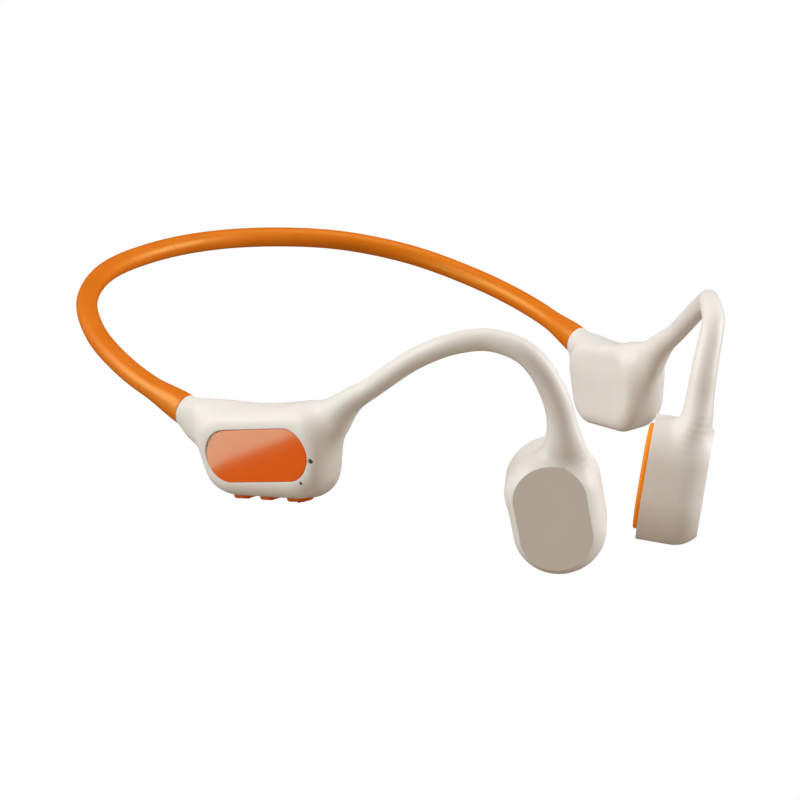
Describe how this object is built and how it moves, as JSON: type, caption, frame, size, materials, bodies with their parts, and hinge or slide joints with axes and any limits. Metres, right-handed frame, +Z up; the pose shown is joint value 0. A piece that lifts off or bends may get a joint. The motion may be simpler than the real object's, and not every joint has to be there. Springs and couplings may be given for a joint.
{
  "type": "bone conduction headphones",
  "caption": "Wireless bone conduction headphones: flexible neckband, slim side pods with push buttons underneath, over-ear hooks and stadium-shaped transducers with soft contact pads.",
  "frame": {"origin": "centre of the whole object's bounding box, on its left-right symmetry plane", "axes": "+X towards the wearer's front, +Y towards the wearer's left, +Z up"},
  "size_m": [0.162, 0.1182, 0.05],
  "materials": {
    "orange_silicone": "soft satin silicone",
    "cream_silicone": "soft-touch satin coat, warm off-white",
    "badge_gloss": "polished, lightly bevelled",
    "button_orange": "satin, raised marks",
    "orange_pad": "soft satin skin-contact silicone",
    "black_plastic": "fine moulded texture",
    "steel": "turned low-carbon steel",
    "nickel": "nickel plated",
    "copper": "enamelled copper winding",
    "spring_steel": "stamped stainless sheet",
    "titanium": "drawn nickel-titanium wire",
    "cable_jacket": "thin flexible jacket",
    "circuit_board": "solder mask over glass fibre",
    "gold": "gold plated",
    "light_guide": "smoked, clear moulded",
    "cell_foil": "laminated pouch foil"
  },
  "bodies": {
    "right_side": {"neckband_sleeve_right": "orange_silicone", "neckband_spring_wire": "titanium", "neckband_cable": "cable_jacket", "right_pod_shell": "cream_silicone", "switch_bodies": "black_plastic", "button_board": "circuit_board", "main_board": "circuit_board", "wireless_module": "nickel", "charge_controller": "black_plastic", "microphone": "nickel", "status_light_guide": "light_guide", "charge_pins": "gold", "charge_magnets": "nickel", "right_badge_plate": "badge_gloss", "right_ear_hook": "cream_silicone", "right_transducer_housing": "cream_silicone", "right_contact_pad": "orange_pad", "right_pad_plate": "black_plastic", "right_voice_coil": "copper", "right_leaf_spring": "spring_steel", "right_hook_spring_wire": "titanium", "right_exciter_lead": "cable_jacket"},
    "left_side": {"neckband_sleeve_left": "orange_silicone", "left_pod_shell": "cream_silicone", "battery_cell": "cell_foil", "battery_board": "circuit_board", "left_badge_plate": "badge_gloss", "left_ear_hook": "cream_silicone", "left_transducer_housing": "cream_silicone", "left_contact_pad": "orange_pad", "left_pad_plate": "black_plastic", "left_voice_coil": "copper", "left_leaf_spring": "spring_steel", "left_hook_spring_wire": "titanium", "left_exciter_lead": "cable_jacket"},
    "volume_down": {"volume_down_button": "button_orange", "volume_down_plunger": "steel"},
    "power": {"power_button": "button_orange", "power_plunger": "steel"},
    "volume_up": {"volume_up_button": "button_orange", "volume_up_plunger": "steel"},
    "right_exciter": {"right_exciter_yoke": "steel", "right_exciter_magnet": "nickel", "right_exciter_top_plate": "steel"},
    "left_exciter": {"left_exciter_yoke": "steel", "left_exciter_magnet": "nickel", "left_exciter_top_plate": "steel"}
  },
  "joints": [
    {"name": "band_flex", "type": "hinge", "parent": "right_side", "child": "left_side", "pos_m": [-0.08099, 0, 0.0189], "axis": [0.2461, 0, 0.9692], "range_deg": [0, 48], "stiffness_Nm_per_rad": 0.12, "deforming": ["neckband_spring_wire", "neckband_cable"]},
    {"name": "volume_down_press", "type": "slide", "parent": "right_side", "child": "volume_down", "axis": [-0.166, -0.0508, 0.9848], "range_m": [0, 0.0004], "stiffness_N_per_m": 90},
    {"name": "power_press", "type": "slide", "parent": "right_side", "child": "power", "axis": [-0.166, -0.0508, 0.9848], "range_m": [0, 0.0004], "stiffness_N_per_m": 90},
    {"name": "volume_up_press", "type": "slide", "parent": "right_side", "child": "volume_up", "axis": [-0.166, -0.0508, 0.9848], "range_m": [0, 0.0004], "stiffness_N_per_m": 90},
    {"name": "right_exciter_travel", "type": "slide", "parent": "right_side", "child": "right_exciter", "axis": [0.7291, -0.6721, -0.129], "range_m": [-0.00025, 0.00025], "stiffness_N_per_m": 2000, "deforming": ["right_leaf_spring"]},
    {"name": "left_exciter_travel", "type": "slide", "parent": "left_side", "child": "left_exciter", "axis": [0.7291, 0.6721, -0.129], "range_m": [-0.00025, 0.00025], "stiffness_N_per_m": 2000, "deforming": ["left_leaf_spring"]}
  ]
}
